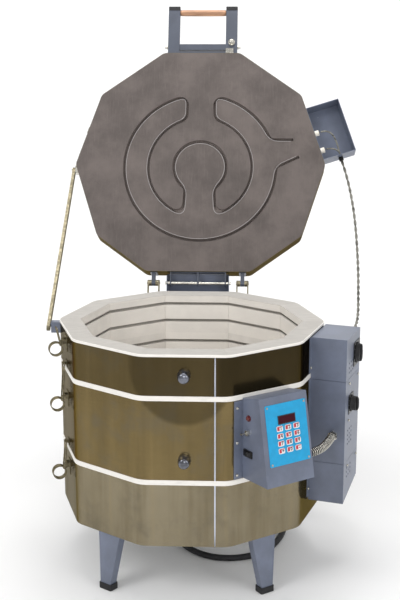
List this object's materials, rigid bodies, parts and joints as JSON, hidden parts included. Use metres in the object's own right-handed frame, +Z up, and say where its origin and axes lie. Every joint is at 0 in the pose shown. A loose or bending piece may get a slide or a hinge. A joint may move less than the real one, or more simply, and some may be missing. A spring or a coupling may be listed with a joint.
{
  "type": "electric kiln",
  "caption": "Ten-sided top-loading electric kiln, its lid open, on four tapered legs, with side terminal boxes, an angled control box, latches, a support arm and a cord.",
  "frame": {"origin": "on the floor, on the barrel's axis", "axes": "+Z up, -Y the front side with the peepholes, +X to the kiln's right side with the terminal boxes; the lid hinges at +Y"},
  "size_m": [0.9153, 1.2335, 1.5555],
  "materials": {
    "painted_steel": "semi-gloss slate grey-blue",
    "stainless": "bright, slightly brushed",
    "plated_steel": "bright plated",
    "galvanised": "dull, galvanised",
    "firebrick": "soft, porous, matte",
    "lid_refractory": "coated, matte",
    "edging": "white, satin",
    "element_wire": "dark oxidised wire",
    "insulator": "unglazed",
    "plug_ceramic": "unglazed, warm",
    "rubber_black": "matte",
    "black_plastic": "matte",
    "wood": "turned dowel, satin",
    "keypad_blue": "membrane, satin",
    "display": "dark red filter",
    "lamp": "translucent red",
    "board": "green laminate"
  },
  "bodies": {
    "kiln_body": {"legs": "painted_steel", "rubber_feet": "rubber_black", "stand_pan": "galvanised", "floor_slab": "firebrick", "brick_ring_bottom": "firebrick", "brick_ring_middle": "firebrick", "brick_ring_top": "firebrick", "jacket_bottom": "stainless", "jacket_middle": "stainless", "jacket_top": "stainless", "edging_strips": "edging", "wall_elements": "element_wire", "terminal_blocks": "insulator", "thermocouple": "insulator", "terminal_box_top": "painted_steel", "terminal_box_middle": "painted_steel", "terminal_box_bottom": "painted_steel", "switch_fittings": "plated_steel", "control_box": "painted_steel", "keypad": "keypad_blue", "display_window": "display", "controller_board": "board", "pilot_lamp": "lamp", "conduit": "plated_steel", "cover_fasteners": "plated_steel", "hinge_channel": "painted_steel", "hinge_pins": "plated_steel", "side_brackets": "painted_steel", "arm_bracket": "painted_steel", "latch_plates": "plated_steel", "cord_glands": "black_plastic", "power_cord": "rubber_black", "plug_body": "rubber_black", "plug_blades": "plated_steel", "lid_lead": "rubber_black"},
    "lid": {"lid_slab": "lid_refractory", "lid_band": "stainless", "lid_element": "element_wire", "lid_terminal_box": "painted_steel", "lid_bushings": "insulator", "handle_bracket": "painted_steel", "handle_grip": "wood", "handle_caps": "rubber_black", "lid_hardware": "plated_steel", "lid_hinge_straps": "galvanised", "arm_lug": "plated_steel", "lead_gland_lid": "black_plastic"},
    "support_arm": {"support_arm": "galvanised"},
    "latch_lever_rim": {"latch_lever_rim": "plated_steel"},
    "latch_lever_upper": {"latch_lever_upper": "plated_steel"},
    "latch_lever_lower": {"latch_lever_lower": "plated_steel"},
    "latch_bail_rim": {"latch_bail_rim": "plated_steel"},
    "latch_bail_upper": {"latch_bail_upper": "plated_steel"},
    "latch_bail_lower": {"latch_bail_lower": "plated_steel"},
    "peephole_plug_upper": {"peephole_plug_upper": "plug_ceramic"},
    "peephole_plug_lower": {"peephole_plug_lower": "plug_ceramic"},
    "rotary_knob_top": {"rotary_knob_top": "black_plastic"},
    "rotary_knob_middle": {"rotary_knob_middle": "black_plastic"},
    "toggle_lever": {"toggle_lever": "plated_steel"},
    "rocker_switch": {"rocker_switch": "black_plastic"}
  },
  "joints": [
    {"name": "lid_hinge", "type": "hinge", "parent": "kiln_body", "child": "lid", "pos_m": [0, 0.385, 0.706], "axis": [1, 0, 0], "range_deg": [0, 115], "deforming": ["lid_lead"]},
    {"name": "support_arm_pivot", "type": "hinge", "parent": "lid", "child": "support_arm", "pos_m": [-0.404, 0.55463, 1.04067], "axis": [1, 0, 0], "range_deg": [-70.3, 0]},
    {"name": "latch_rim_lever", "type": "hinge", "parent": "kiln_body", "child": "latch_lever_rim", "pos_m": [-0.34904, -0.11341, 0.652], "axis": [-0.309, 0.9511, 0], "range_deg": [0, 80]},
    {"name": "latch_rim_bail", "type": "hinge", "parent": "latch_lever_rim", "child": "latch_bail_rim", "pos_m": [-0.35711, -0.11603, 0.64351], "axis": [-0.309, 0.9511, 0], "range_deg": [-80, 0]},
    {"name": "latch_upper_lever", "type": "hinge", "parent": "kiln_body", "child": "latch_lever_upper", "pos_m": [-0.34904, -0.11341, 0.492], "axis": [-0.309, 0.9511, 0], "range_deg": [0, 80]},
    {"name": "latch_upper_bail", "type": "hinge", "parent": "latch_lever_upper", "child": "latch_bail_upper", "pos_m": [-0.35711, -0.11603, 0.48351], "axis": [-0.309, 0.9511, 0], "range_deg": [-80, 0]},
    {"name": "latch_lower_lever", "type": "hinge", "parent": "kiln_body", "child": "latch_lever_lower", "pos_m": [-0.34904, -0.11341, 0.29], "axis": [-0.309, 0.9511, 0], "range_deg": [0, 80]},
    {"name": "latch_lower_bail", "type": "hinge", "parent": "latch_lever_lower", "child": "latch_bail_lower", "pos_m": [-0.35711, -0.11603, 0.28152], "axis": [-0.309, 0.9511, 0], "range_deg": [-80, 0]},
    {"name": "peephole_upper_pull", "type": "slide", "parent": "kiln_body", "child": "peephole_plug_upper", "axis": [0, -1, 0], "range_m": [0, 0.07]},
    {"name": "peephole_lower_pull", "type": "slide", "parent": "kiln_body", "child": "peephole_plug_lower", "axis": [0, -1, 0], "range_m": [0, 0.07]},
    {"name": "rotary_top_turn", "type": "hinge", "parent": "kiln_body", "child": "rotary_knob_top", "pos_m": [0.46568, -0.06509, 0.615], "axis": [0.9511, -0.309, 0], "range_deg": [-300, 0]},
    {"name": "rotary_middle_turn", "type": "hinge", "parent": "kiln_body", "child": "rotary_knob_middle", "pos_m": [0.44961, -0.11454, 0.483], "axis": [0.9511, -0.309, 0], "range_deg": [-270, 0]},
    {"name": "toggle_tilt", "type": "hinge", "parent": "kiln_body", "child": "toggle_lever", "pos_m": [0.16415, -0.36033, 0.478], "axis": [0.5878, -0.809, 0], "range_deg": [-12, 12]},
    {"name": "rocker_tilt", "type": "hinge", "parent": "kiln_body", "child": "rocker_switch", "pos_m": [0.17143, -0.35504, 0.421], "axis": [0, 0, 1], "range_deg": [-9, 9]}
  ],
  "couplings": [
    {"joint": "support_arm_pivot", "follows": "lid_hinge", "ratio": -0.6087},
    {"joint": "latch_rim_bail", "follows": "latch_rim_lever", "ratio": -1},
    {"joint": "latch_upper_bail", "follows": "latch_upper_lever", "ratio": -1},
    {"joint": "latch_lower_bail", "follows": "latch_lower_lever", "ratio": -1}
  ]
}
